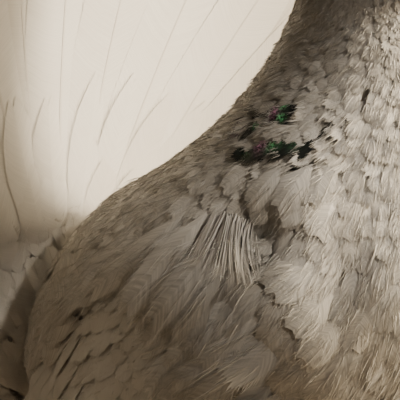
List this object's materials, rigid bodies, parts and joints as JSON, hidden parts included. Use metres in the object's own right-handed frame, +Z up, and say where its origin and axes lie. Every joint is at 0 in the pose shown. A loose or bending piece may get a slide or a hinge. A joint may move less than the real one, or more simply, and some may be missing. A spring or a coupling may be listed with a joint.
{
  "type": "indian fantail pigeon model",
  "caption": "Still life-size white fantail pigeon, standing with its tail fan raised, wings carried low, peaked crest and feathered feet.",
  "frame": {"origin": "middle of the model's outer box in X and Y, on the floor that the bird stands on", "axes": "+Z up, the bird faces -Y, its left side is +X"},
  "size_m": [0.3362, 0.21, 0.2845],
  "materials": {
    "plumage": "white feathers, matt, a few of them black with a green and purple shine",
    "bill": "flesh-coloured horn",
    "cere": "white powdery skin",
    "foot_skin": "red scaled skin",
    "claw_horn": "pale horn",
    "eye": "wet dark brown"
  },
  "bodies": {
    "root": {"head": "plumage", "neck": "plumage", "torso": "plumage", "wing_left": "plumage", "wing_right": "plumage", "tail": "plumage", "thigh_left": "plumage", "thigh_right": "plumage", "bill_upper": "bill", "bill_lower": "bill", "cere": "cere", "eye_left": "eye", "eye_right": "eye", "foot_left": "foot_skin", "foot_right": "foot_skin", "claw_inner_left": "claw_horn", "claw_middle_left": "claw_horn", "claw_outer_left": "claw_horn", "claw_hind_left": "claw_horn", "claw_inner_right": "claw_horn", "claw_middle_right": "claw_horn", "claw_outer_right": "claw_horn", "claw_hind_right": "claw_horn"}
  },
  "joints": []
}
